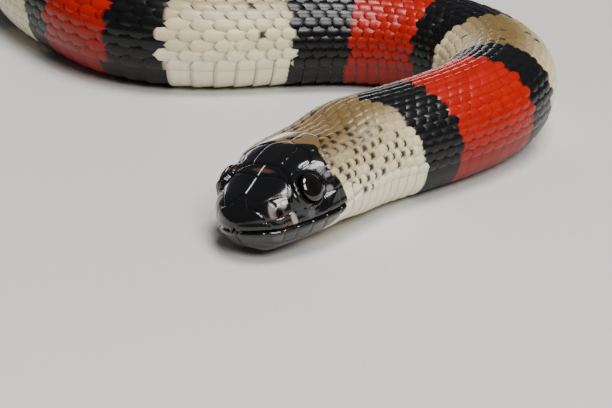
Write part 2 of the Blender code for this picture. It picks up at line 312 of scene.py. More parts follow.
    def surface(self, at: Array, share: Array, lift: Array | float = 0.0) -> Array:
        """World places of points on the outline, raised along its own normal.

        Args:
            at: Distances along the snake.
            share: Girth shares, negative on the snake's left.
            lift: How far out each point stands, in mm.

        Returns:
            An array of places in metres with the arguments' shape.
        """
        at, share = np.broadcast_arrays(np.asarray(at, float), np.asarray(share, float))
        base = self.place(at, *self.section(at, share))
        lift = np.asarray(lift) + self.fold(at, share)
        step = self.probe
        near = np.abs(share) > 1 - 2 * step
        ahead = np.where(near, share - np.sign(share) * step, share + step)
        behind = np.where(near, share - np.sign(share) * 2 * step, share - step)
        across = (self.place(at, *self.section(at, ahead))
                  - self.place(at, *self.section(at, behind)))
        across = np.where((near & (share > 0))[..., None], -across, across)
        # Towards the tip of the snout the points lie closer together.
        gap = np.clip(at * 0.15, 0.004, 0.3)
        along = (self.place(at + gap, *self.section(at + gap, share))
                 - self.place(at - gap, *self.section(at - gap, share)))
        normal = np.cross(along, across)
        normal /= np.linalg.norm(normal, axis=-1, keepdims=True) + 1e-15
        return base + normal * lift[..., None] * MM

    def fold(self, at: Array, share: Array) -> Array:
        """How far folds push the skin in on the inner side of tight bends.

        Args:
            at: Distances along the snake.
            share: Girth shares.

        Returns:
            Lifts in mm, zero or less.
        """
        # Folds are deepest on the flank and fade towards the back and the belly.
        bend = np.interp(at, self.along[1:], np.diff(self.heading) / self.route_step)
        tight = smooth((np.abs(bend) * eased(self.half_width, at) - self.fold_from) / 0.35)
        inner = smooth(np.sign(bend) * share / 0.4) * smooth((0.85 - np.abs(share)) / 0.2)
        main, second = (at * 2 * math.pi / spacing for spacing in self.fold_spacings)
        wave = np.sin(main) + 0.6 * np.sin(second + 1.0)
        return -self.fold_depth * tight * inner * smooth(0.5 + 0.45 * wave)


class Tone(Enum):
    """The colours of the rings along the body."""

    BLACK = 0
    RED = 1
    CREAM = 2


@dataclass(frozen=True)
class Patch:
    """A soft-edged oval patch of another colour on the head.

    It lies at a distance and a head turn, and its half sizes along and across are mm.
    """

    at: float
    turn: float
    along: float
    across: float
    slant: float
    colour: str
    strength: float = 1.0
    edge: float = 0.35

    def over(self, base: Array, body: Body, spots: Array) -> Array:
        """Lays the patch over colours.

        Args:
            base: The colours below.
            body: The snake's form.
            spots: The points' places in metres.

        Returns:
            The new colours.
        """
        middle = np.array([self.at])
        turn = np.array([math.copysign(max(abs(self.turn), 1e-4), self.turn)])
        share = body.share_of(middle, turn)
        centre, ahead, beside = (body.surface(middle + step, share + swing)[0]
                                 for step, swing in ((0, 0), (0.2, 0), (0, 0.02)))
        forth = (ahead - centre) / np.linalg.norm(ahead - centre)
        side = beside - centre - forth * np.dot(beside - centre, forth)
        side /= np.linalg.norm(side)
        off = (spots - centre) / MM
        x, y = off @ forth, off @ side
        far = np.hypot((x - self.slant * y) / self.along, y / self.across)
        # Points on the far side of the head can lie in line with the patch, so they stay out.
        near = np.linalg.norm(off, axis=1) < 4 * max(self.along, self.across)
        amount = (self.strength * near * smooth((1 - far) / self.edge + 0.5))[:, None]
        return mix(base, linear(self.colour), amount)


@dataclass
class Markings:
    """The rings, the black cap and the flecks, the same on the skin and on its scales."""

    # Where the black cap ends, by head turn, and where the cream of the nape ends, by share.
    cap_edge: Table = ((0.0, 9.4), (0.15, 9.7), (0.3, 10.2), (0.45, 9.2), (0.6, 8.9),
                       (0.8, 9.6), (1.0, 10.1), (1.2, 8.8), (1.5, 7.4), (2.0, 6.6))
    nape_edge: Table = ((0.0, 20.3), (0.1, 21.5), (0.2, 22.5), (0.35, 23.3), (0.46, 24.2),
                        (0.6, 25.4), (1.0, 25.8))
    nape_to: float = 28.0
    # Each ring's end in mm, its colour, and how far forward its end leads on the back.
    first_rings: tuple[tuple[float, Tone, float], ...] = (
        (25.8, Tone.CREAM, 0.0), (29.7, Tone.BLACK, 1.4), (40.4, Tone.RED, 0.2),
        (45.1, Tone.BLACK, -0.8), (59.0, Tone.CREAM, 1.6), (66.0, Tone.BLACK, -0.6),
        (79.0, Tone.RED, 0.8), (87.6, Tone.BLACK, -1.2), (102.7, Tone.CREAM, 1.2),
        (108.0, Tone.BLACK, -0.8), (118.5, Tone.RED, 0.8), (124.0, Tone.BLACK, -1.0),
        (137.5, Tone.CREAM, 1.2))
    # Lengths, colours and leads of the later rings, which repeat to the tip of the tail.
    later_set: tuple[tuple[float, Tone, float], ...] = (
        (6.0, Tone.BLACK, -0.9), (13.0, Tone.RED, 0.9), (6.2, Tone.BLACK, -0.9),
        (14.6, Tone.CREAM, 1.1))
    lead_to: float = 0.6
    rings_to: float = 745.0
    tail_from: float = 600.0
    tail_shrink: float = 0.8
    seed: int = 5
    black: str = "#0b0b0c"
    red: str = "#9a1000"
    # The red turns darker towards the belly: painted shade on the lower flank.
    red_shaded_low: str = "#860f00"
    ivory: str = "#cfc096"
    ivory_belly: str = "#ebe3c4"
    olive: str = "#6c5733"
    fleck: str = "#1f130d"
    # Girth shares by distance: where the tan of the back ends, and the band that has flecks.
    tan_above: Table = ((11.0, 0.17), (16.0, 0.13), (24.0, 0.04), (740.0, 0.06))
    fleck_above: Table = ((11.0, 0.10), (15.0, 0.10), (18.0, 0.16), (21.0, 0.29), (24.0, 0.38))
    fleck_below: Table = ((11.0, 0.60), (16.0, 0.56), (20.0, 0.50), (24.0, 0.42))
    fleck_end: float = 24.0
    tan_fade: float = 0.38
    belly_from: float = 0.35
    belly_fade: float = 0.3
    # The crown's black spot, and head patches: partly their own colour, partly painted sheens.
    patches: tuple[Patch, ...] = (
        Patch(10.8, 0.0, 0.42, 0.95, -0.3, "#0b0b0c"),
        Patch(5.2, -0.03, 0.26, 1.25, 0.0, "#4c351f", 0.9, 0.8),
        Patch(5.3, 0.42, 0.25, 0.60, 0.0, "#3f2d1c", 0.7, 0.8),
        Patch(8.2, -0.53, 0.42, 0.55, 0.0, "#8f8b89", 0.9, 0.5),
        Patch(8.5, -0.65, 0.45, 0.50, 0.0, "#94908e", 0.9, 0.5),
        Patch(8.1, -0.77, 0.40, 0.40, 0.0, "#807d7c", 0.8, 0.5),
        Patch(8.4, 0.62, 0.60, 0.80, 0.0, "#8c8886", 0.8, 0.5),
        Patch(1.95, -0.66, 0.42, 0.80, 0.2, "#7f7875", 0.85, 0.5),
        Patch(2.95, -0.64, 0.40, 0.42, 0.0, "#8a8482", 0.85, 0.5),
        Patch(3.85, -0.55, 0.50, 0.48, 0.0, "#9a9694", 0.85, 0.4),
        Patch(2.35, 0.64, 0.90, 0.95, 0.3, "#807873", 0.8, 0.6),
        Patch(2.4, -0.74, 0.62, 0.58, 0.0, "#3d281e", 0.85, 0.7),
        Patch(2.4, 0.74, 0.62, 0.58, 0.0, "#3d281e", 0.85, 0.7),
        Patch(3.0, -0.96, 0.75, 0.40, 0.0, "#4b3022", 0.85, 0.8),
        Patch(3.7, -0.90, 0.28, 0.75, 0.0, "#a39a92", 0.8, 0.6),
        Patch(5.4, -0.90, 0.45, 0.50, 0.0, "#474b54", 0.7, 0.7),
        Patch(2.2, -1.18, 0.60, 0.35, 0.0, "#54443c", 0.7, 0.8),
        Patch(3.4, 0.92, 0.55, 0.55, 0.0, "#857b74", 0.6, 0.7),
    )

    def __post_init__(self) -> None:
        """Carries the rings on to the tip of the tail, a little uneven as on a real snake."""
        ends, tones, leads = (list(v) for v in zip(*self.first_rings))
        uneven = np.random.default_rng(self.seed)
        while ends[-1] < self.rings_to:
            shrink = 1.0 if ends[-1] < self.tail_from else self.tail_shrink
            for size, tone, lead in self.later_set:
                ends.append(ends[-1] + size * shrink * uneven.uniform(0.9, 1.1))
                tones.append(tone)
                leads.append(lead + uneven.uniform(-0.4, 0.4))
        self.ends, self.tones = np.array(ends), [t.value for t in tones]
        self.leads = np.array(leads)

    def tone(self, at: Array, share: Array, turn: Array) -> Array:
        """Which ring colour lies at points, as Tone values.

        Args:
            at: Distances along the snake.
            share: Girth shares.
            turn: Head turns.

        Returns:
            The values of the tones.
        """
        back = smooth(1 - np.abs(share) / self.lead_to)
        tone = np.full(np.shape(at), Tone.CREAM.value)
        for end, lead, following in zip(self.ends, self.leads, self.tones[1:]):
            tone = np.where(at > end - lead * back, following, tone)
        tone = np.where((at < self.nape_to) & (at > eased(self.nape_edge, np.abs(share))),
                        Tone.BLACK.value, tone)
        return np.where(at < eased(self.cap_edge, turn), Tone.BLACK.value, tone)

    def colour(self, at: Array, share: Array, turn: Array, tone: Array | None = None) -> Array:
        """The base colour of points.

        Args:
            at: Distances along the snake.
            share: Girth shares.
            turn: Head turns.
            tone: Ring colours to keep, or None for those at the points themselves.

        Returns:
            Linear colours, three for each point.
        """
        tone = self.tone(at, share, turn) if tone is None else tone
        down = np.abs(share)
        pale = smooth((down - eased(self.tan_above, at)) / self.tan_fade)[..., None]
        low = smooth((down - self.belly_from) / self.belly_fade)[..., None]
        cream = mix(linear(self.olive), mix(linear(self.ivory), linear(self.ivory_belly), low),
                    pale)
        # Towards the belly the cream turns paler, and the red darker with painted shade.
        red = mix(linear(self.red), linear(self.red_shaded_low), low)
        black = np.broadcast_to(linear(self.black), cream.shape)
        return np.where((tone == Tone.BLACK.value)[..., None], black,
                        np.where((tone == Tone.RED.value)[..., None], red, cream))


def set_inputs(node: bpy.types.Node, values: dict) -> None:
    """Sets inputs of a node, by name or number.

    Args:
        node: The node.
        values: Each input's value.
    """
    for name, value in values.items():
        node.inputs[name].default_value = value


def add_node(tree: bpy.types.NodeTree, kind: str, settings: dict | None = None,
             values: dict | None = None, links: dict | None = None) -> bpy.types.Node:
    """Adds one node with its settings, values and links.

    Args:
        tree: The node tree.
        kind: The node's type name.
        settings: Attributes of the node.
        values: Default values of inputs, by name or number.
        links: Output sockets to join to inputs, by name or number.

    Returns:
        The new node.
    """
    node = tree.nodes.new(kind)
    for name, value in (settings or {}).items():
        setattr(node, name, value)
    set_inputs(node, values or {})
    for name, socket in (links or {}).items():
        tree.links.new(socket, node.inputs[name])
    return node


def start_material(name: str) -> tuple[bpy.types.Material, bpy.types.NodeTree, bpy.types.Node]:
    """Starts a material.

    Args:
        name: The material's name.

    Returns:
        The material, its node tree and its shader.
    """
    material = bpy.data.materials.new(name)
    material.use_nodes = True
    return material, material.node_tree, material.node_tree.nodes["Principled BSDF"]


@dataclass(frozen=True)
class Keratin:
    """Smooth snake keratin: the horny outer layer of scales, shed and regrown, never dull.

    It is dense and slightly translucent, so it shows its pigment under a clear gloss.
    """

    name: str
    roughness: float
    grain_mm: float
    bump: float
    mottle: float
    coat: float = 0.0
    specular: float = 0.5
    ior: float = 1.5
    coat_roughness: float = 0.08
    grain_height_mm: float = 0.02
    cloud_scale: float = 0.12

    def make(self) -> bpy.types.Material:
        """Builds the material: marked pigment, faint mottling, fine grain and gloss.

        Returns:
            The finished material.
        """
        material, tree, shader = start_material(self.name)
        where = add_node(tree, "ShaderNodeNewGeometry")
        place = add_node(tree, "ShaderNodeVectorMath", {"operation": "SCALE"},
                         {"Scale": 1 / (self.grain_mm * MM)}, {0: where.outputs["Position"]})
        grain, broad = (
            add_node(tree, "ShaderNodeTexNoise", None,
                     {"Scale": scale, "Detail": detail, "Roughness": gain},
                     {"Vector": place.outputs[0]}).outputs["Fac"]
            for scale, detail, gain in ((1.0, 3.0, 0.6), (self.cloud_scale, 2.0, 0.5)))
        pigment = add_node(tree, "ShaderNodeAttribute", {"attribute_name": "Marking"})
        shades = [add_node(tree, "ShaderNodeMapRange", None,
                           {**NOISE_SPAN, "To Min": 1 - mottle, "To Max": 1 + mottle},
                           {"Value": noise}).outputs[0]
                  for noise, mottle in ((grain, self.mottle), (broad, 0.6 * self.mottle))]
        both = add_node(tree, "ShaderNodeMath", {"operation": "MULTIPLY"}, None,
                        {0: shades[0], 1: shades[1]})
        mottled = add_node(tree, "ShaderNodeVectorMath", {"operation": "SCALE"}, None,
                           {0: pigment.outputs["Color"], "Scale": both.outputs[0]})
        rough = add_node(tree, "ShaderNodeMapRange", None,
                         {**NOISE_SPAN, "To Min": self.roughness * 0.85,
                          "To Max": self.roughness * 1.2}, {"Value": broad})
        bump = add_node(tree, "ShaderNodeBump", None,
                        {"Strength": self.bump, "Distance": self.grain_height_mm * MM},
                        {"Height": grain})
        for socket, source in (("Base Color", mottled), ("Roughness", rough), ("Normal", bump)):
            tree.links.new(source.outputs[0], shader.inputs[socket])
        set_inputs(shader, {"IOR": self.ior, "Specular IOR Level": self.specular,
                            "Coat Weight": self.coat, "Coat Roughness": self.coat_roughness})
        return material


# Keratin of the scales, laid down smooth and worn bright by crawling: a satin gloss.
SCALE_KERATIN = Keratin("Scale_keratin_smooth", roughness=0.29, grain_mm=0.18, bump=0.25,
                        mottle=0.07, specular=0.34)
# Keratin of the head shields, thicker and polished: near mirror highlights in small patches.
SHIELD_KERATIN = Keratin("Shield_keratin_polished", roughness=0.17, grain_mm=0.3, bump=0.12,
                         mottle=0.06, coat=0.3)
# Keratin of the belly scutes, rubbed on the ground: a soft even gloss.
SCUTE_KERATIN = Keratin("Scute_keratin_rubbed", roughness=0.36, grain_mm=0.25, bump=0.15,
                        mottle=0.05, specular=0.30)


@dataclass(frozen=True)
class Cornea:
    """The clear spectacle over a dark iris: a wet black ball with one sharp highlight."""

    name: str
    grain_mm: float = 0.25
    roughness: float = 0.06
    ior: float = 1.38
    coat: float = 1.0
    coat_roughness: float = 0.02

    def make(self) -> bpy.types.Material:
        """Builds the eye material, with fine grain in the colours of iris and pupil.

        Returns:
            The finished material.
        """
        material, tree, shader = start_material(self.name)
        marks = add_node(tree, "ShaderNodeAttribute", {"attribute_name": "Marking"})
        where = add_node(tree, "ShaderNodeNewGeometry")
        grain = add_node(tree, "ShaderNodeTexNoise", None,
                         {"Scale": 1 / (self.grain_mm * MM), "Detail": 3.0, "Roughness": 0.6},
                         {"Vector": where.outputs["Position"]})
        shade = add_node(tree, "ShaderNodeMapRange", None,
                         {**NOISE_SPAN, "To Min": 0.75, "To Max": 1.25},
                         {"Value": grain.outputs["Fac"]})
        mixed = add_node(tree, "ShaderNodeVectorMath", {"operation": "SCALE"}, None,
                         {0: marks.outputs["Color"], "Scale": shade.outputs[0]})
        tree.links.new(mixed.outputs[0], shader.inputs["Base Color"])
        set_inputs(shader, {"Roughness": self.roughness, "IOR": self.ior,
                            "Coat Weight": self.coat, "Coat Roughness": self.coat_roughness})
        return material


def make_piece(name: str, corners: Array, faces: list, material: bpy.types.Material,
               colours: Array, uvs: Array, sharp: float = 42.0) -> bpy.types.Object:
    """Makes one smooth shaded mesh piece with its marking colours and its bake map.

    Args:
        name: The piece's name.
        corners: Places in metres.
        faces: Corner numbers of each face.
        material: The finish.
        colours: Linear colours, one for each corner.
        uvs: Map places, one for each corner of each face in order.
        sharp: Edges that turn more than this many degrees stay sharp.

    Returns:
        The object, riding on the root body.
    """
    mesh = bpy.data.meshes.new(name)
    mesh.from_pydata(corners.tolist(), [], faces)
    layer = mesh.color_attributes.new("Marking", "FLOAT_COLOR", "POINT")
    rgba = np.concatenate([colours, np.ones((len(colours), 1))], axis=1)
    layer.data.foreach_set("color", rgba.astype(np.float32).ravel())
    bake = mesh.uv_layers.new(name="OFBake")
    bake.data.foreach_set("uv", uvs.astype(np.float32).ravel())
    mesh.shade_smooth()
    mesh.set_sharp_from_angle(angle=math.radians(sharp))
    mesh.materials.append(material)
    piece = bpy.data.objects.new(name, mesh)
    bpy.context.scene.collection.objects.link(piece)
    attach(piece, "root")
    return piece


def grid_faces(along: int, across: int) -> tuple[list[tuple[int, ...]], list[int]]:
    """The faces and the rim of a grid whose corners run row by row.

    Args:
        along: Steps from the first row to the last.
        across: Steps along a row.

    Returns:
        Corner numbers of each face, and of the rim all the way round.
    """
    grid = np.arange((along + 1) * (across + 1)).reshape(along + 1, across + 1)
    faces = [(grid[i, j], grid[i, j + 1], grid[i + 1, j + 1], grid[i + 1, j])
             for i in range(along) for j in range(across)]
    return faces, [*grid[0], *grid[1:, -1], *grid[-1, -2::-1], *grid[-2:0:-1, 0]]


@dataclass
class BakeMap:
    """An unwrap of the skin: four strips for the body, and above them one for the head."""

    length: float
    strips: int = 4
    strip_height: float = 0.2
    head_to: float = 26.0
    margin: float = 0.004

    def map(self, at: Array, share: Array, pick: Array) -> Array:
        """Map places of points.

        Args:
            at: Distances along the snake.
            share: Girth shares.
            pick: The distance that names the strip, the same for all of a face or a scale.

        Returns:
            Map places, two for each point.
        """
        run = (self.length - self.head_to) / self.strips
        strip = np.clip(((pick - self.head_to) / run).astype(int), 0, self.strips - 1)
        on_head = pick < self.head_to
        u = np.where(on_head, 0.9 * np.clip(at, 0, None) / self.head_to,
                     (1 - 2 * self.margin) * (at - self.head_to - strip * run) / run)
        inner = self.strip_height - 2 * self.margin
        v = (np.where(on_head, self.strips, strip) * self.strip_height
             + inner * (share + 1) / 2)
        return np.stack([self.margin + u, self.margin + v], -1)


@dataclass
class Head:
    """The head's relief: shields and the seams between them, lips, nostrils and sockets."""

    body: Body
    eye_at: float = 6.2
    eye_height: float = 6.4
    eye_radius: float = 1.43
    eye_sunk: float = 0.06
    nostril_at: float = 2.4
    nostril_turn: float = 0.74
    # The lips' edges as head turns, and distances of the seams between their shields.
    labial_top: float = 0.80
    labial_foot: float = 1.30
    upper_lip_seams: tuple[float, ...] = (2.9, 4.4, 5.8, 7.4, 9.1, 11.2)
    lower_lip_seams: tuple[float, ...] = (1.3, 2.6, 4.0, 5.6, 7.3, 9.2, 11.2)
    # Seams and the shields between them, in mm.
    seam_depth: float = 0.065
    seam_width: float = 0.075
    plate_rise: float = 0.035
    crown_of: float = 0.15
    plates_end: float = 14.5
    plates_fade: float = 1.5
    # Half the depth of the eye's ball in mm, and how far the eye looks to the side.
    eye_flat: float = 0.50
    eye_aside: float = 0.33
    # Round an eye, in mm: how far beyond the ball's edge each form lies, and its width.
    socket_at: tuple[float, float] = (0.02, 0.14)
    rim_at: tuple[float, float] = (0.26, 0.17)
    crease_at: tuple[float, float] = (0.55, 0.08)
    level_at: tuple[float, float] = (1.5, 1.3)
    socket_depth: float = 0.9
    socket_reach: float = 3.2
    rim_rise: float = 0.12
    crease_depth: float = 0.09
    # The slit of the mouth and the swell of the lips: depth or rise, place and width in mm.
    slit_depth: float = 0.36
    slit_width: float = 0.13
    lip_rise: float = 0.10
    lip_at: tuple[float, float] = (0.45, 0.35)
    nostril_depth: float = 0.7
    nostril_radius: float = 0.42
    nostril_edge: float = 0.3
    nostril_rise: float = 0.06
    nostril_rim: tuple[float, float] = (0.13, 0.15)

    def seams(self) -> list[list[tuple[float, float]]]:
        """The seams of one side of the head.

        Returns:
            Lines of points, each a distance and a head turn.
        """
        top, foot = self.labial_top, self.labial_foot
        lines = [
            [(2.35, 0), (2.2, 0.05), (1.6, 0.13), (1.15, 0.25), (1.1, 0.5), (1.3, 0.78),
             (1.8, 1.0)],
            [(2.35, 0), (6.0, 0)], [(10.2, 0), (13.4, 0)],
            [(4.45, 0), (4.7, 0.16), (4.85, 0.32), (4.65, 0.45), (4.2, 0.56), (3.9, 0.63)],
            [(1.1, 0.42), (2.5, 0.46), (3.5, 0.55), (3.9, 0.63)],
            [(6.0, 0), (6.0, 0.17), (5.4, 0.33), (4.9, 0.48), (4.4, 0.53)],
            [(6.0, 0.17), (6.5, 0.2), (9.2, 0.17), (10.2, 0)],
            [(9.2, 0.17), (8.9, 0.3), (9.4, 0.37), (12.0, 0.33), (13.2, 0.15), (13.4, 0)],
            [(4.9, 0.48), (5.2, 0.44), (6.4, 0.4), (7.9, 0.42), (8.9, 0.3)],
            [(3.9, 0.63), (3.75, top)], [(2.3, 0.48), (2.3, 0.6)], [(2.35, 0.76), (2.4, top)],
            [(4.4, 0.53), (4.7, 0.64), (4.6, top)],
            [(7.9, 0.58), (9.3, 0.54)], [(9.4, 0.37), (9.3, 0.54), (8.9, 0.66), (9.0, top)],
            [(7.8, 0.7), (8.9, 0.66)], [(9.1, 0.6), (11.3, 0.58)],
            [(10.9, 0.35), (11.3, 0.58), (11.2, top)],
            [(1.2, top), (4.9, top), (6.4, 0.83), (7.8, top), (11.6, top)],
            [(1.2, 1.0), (1.3, foot)], [(1.3, foot), (9.2, foot), (12.6, 1.22)],
            [(1.3, 2.0), (9.0, 2.0)], [(5.4, foot), (5.6, 2.0)], [(9.2, foot), (9.0, 2.0)],
        ]
        lines += [[(at, top), (at + 0.15, 1.0)] for at in self.upper_lip_seams]
        lines += [[(at, 1.0), (at + 0.2, foot)] for at in self.lower_lip_seams]
        return lines

    @staticmethod
    def rounded(line: list[tuple[float, float]], step: float = 0.04) -> Array:
        """Points close together along a line whose corners are a little rounded.

        Args:
            line: The line's points.
            step: How far apart the new points lie, in mm.

        Returns:
            The new points, one to a row.
        """
        points = np.array(line, float)
        for _ in range(2 if len(points) > 2 else 0):
            cut = [points[:1]]
            for a, b in zip(points[:-1], points[1:]):
                cut.append(np.array([a * 0.85 + b * 0.15, a * 0.15 + b * 0.85]))
            points = np.concatenate(cut + [points[-1:]])
        # On the head, one turn is about nine millimetres of skin.
        scale = np.array([1.0, 9.0])
        run = np.concatenate([[0], np.cumsum(np.linalg.norm(np.diff(points * scale, axis=0),
                                                            axis=1))])
        wanted = np.arange(0, run[-1] + step, step)
        return np.stack([np.interp(wanted, run, points[:, k]) for k in (0, 1)], -1)

    def _gaps(self, lines: list[Array], spots: Array) -> Array:
        """How far places are from lines on the outline, drawn on both sides of the head.

        Args:
            lines: Lines of distances and head turns.
            spots: Places in mm.

        Returns:
            Distances in mm to the nearest point of a line.
        """
        points = []
        for line in lines:
            for sign in (-1, 1):
                at, turn = line[:, 0], sign * np.maximum(line[:, 1], 1e-4)
                points.append(self.body.surface(at, self.body.share_of(at, turn)))
        points = np.concatenate(points) / MM
        tree = KDTree(len(points))
        for i, point in enumerate(points):
            tree.insert(point, i)
        tree.balance()
        return np.array([tree.find(spot)[2] for spot in spots])

    def eye_seat(self, sign: int) -> tuple[Array, Array]:
        """Where an eye sits on the outline and which way it looks.

        Args:
            sign: -1 for the snake's left eye and 1 for its right.

        Returns:
            The middle of the eye in metres and its outward direction.
        """
        shares = np.linspace(0.1, 0.7, 241)
        height = self.body.section(np.full(241, self.eye_at), shares)[1]
        share = np.array([sign * shares[np.abs(height - self.eye_height).argmin()]])
        at, zero = np.array([self.eye_at]), np.zeros(1)
        seat = self.body.surface(at, share, np.array([-self.eye_sunk]))[0]
        outward = self.body.surface(at, share, np.array([1.0]))[0] - seat
        ahead = self.body.place(at - 1, zero, zero)[0] - self.body.place(at, zero, zero)[0]
        outward = outward / np.linalg.norm(outward) - self.eye_aside * ahead / np.linalg.norm(
            ahead)
        return seat, outward / np.linalg.norm(outward)

    def _socket(self, spots: Array, sign: int) -> tuple[Array, Array]:
        """The socket of an eye, with the rim round it and the crease behind the rim.

        The skin round it is level with the eye, which looks to the side.

        Args:
            spots: Places in mm.
            sign: -1 for the snake's left eye and 1 for its right.

        Returns:
            The lift in mm and a seam depth from 0 to 1.
        """
        heading = np.interp(self.eye_at, self.body.along, self.body.heading)
        ahead = -np.array([math.cos(heading), math.sin(heading), 0])
        centre, outward = self.eye_seat(sign)
        off = spots - centre / MM
        depth = off @ outward
        gap = np.linalg.norm(off - depth[:, None] * outward, axis=1)
        near = (depth > -1.2) & (gap < self.socket_reach)
        beyond = gap - self.eye_radius
        levelled, socket = (smooth((place - beyond) / width)
                            for place, width in (self.level_at, self.socket_at))
        rim, crease = (bell((beyond - place) / width)
                       for place, width in (self.rim_at, self.crease_at))
        level = self.eye_aside * off @ ahead * levelled
        lift = level - self.socket_depth * socket + self.rim_rise * rim
        return near * (lift - self.crease_depth * crease), near * np.maximum(crease, socket)

    def _nostril(self, spots: Array, sign: int) -> tuple[Array, Array]:
        """A nostril with a low rim.

        Args:
            spots: Places in mm.
            sign: -1 for the snake's left side and 1 for its right.

        Returns:
            The lift in mm and a seam depth from 0 to 1.
        """
        at, turn = np.array([self.nostril_at]), np.array([sign * self.nostril_turn])
        pit = self.body.surface(at, self.body.share_of(at, turn))[0] / MM
        far = np.linalg.norm((spots - pit) * (1, 1, 0.8), axis=1)
        hole = smooth((self.nostril_radius - far) / self.nostril_edge)
        rim = bell((far - self.nostril_radius - self.nostril_rim[0]) / self.nostril_rim[1])
        return self.nostril_rise * rim - self.nostril_depth * hole, hole

    def relief(self, at: Array, share: Array) -> tuple[Array, Array]:
        """How far the head's skin stands out, and how deep in a seam each point lies.

        Args:
            at: Distances of the points.
            share: Girth shares of the points.

        Returns:
            The lift in mm and a seam depth from 0 to 1.
        """
        body = self.body
        spots = body.surface(at, share) / MM
        gap = self._gaps([self.rounded(line) for line in self.seams()], spots)
        fade = smooth((self.plates_end + self.plates_fade - at) / self.plates_fade)
        seam = bell(gap / self.seam_width) * fade
        dome = (1 - np.exp(-(gap / self.crown_of)**1.6)) * fade
        lift = 0.02 + self.plate_rise * dome - self.seam_depth * seam
        lips = np.array([[s, 1.0] for s in np.arange(0.05, body.mouth_corner + 0.3, 0.05)])
        lip_gap = self._gaps([lips], spots)
        slit = bell(lip_gap / self.slit_width)
        swell = bell((lip_gap - self.lip_at[0]) / self.lip_at[1])
        swell = swell * smooth((body.mouth_corner - at) / 3)
        lift = lift - self.slit_depth * slit + self.lip_rise * swell
        seam = np.maximum(seam, slit)
        for sign in (-1, 1):
            for more, deep in (self._socket(spots, sign), self._nostril(spots, sign)):
                lift = lift + more
                seam = np.maximum(seam, deep)
        return lift, seam


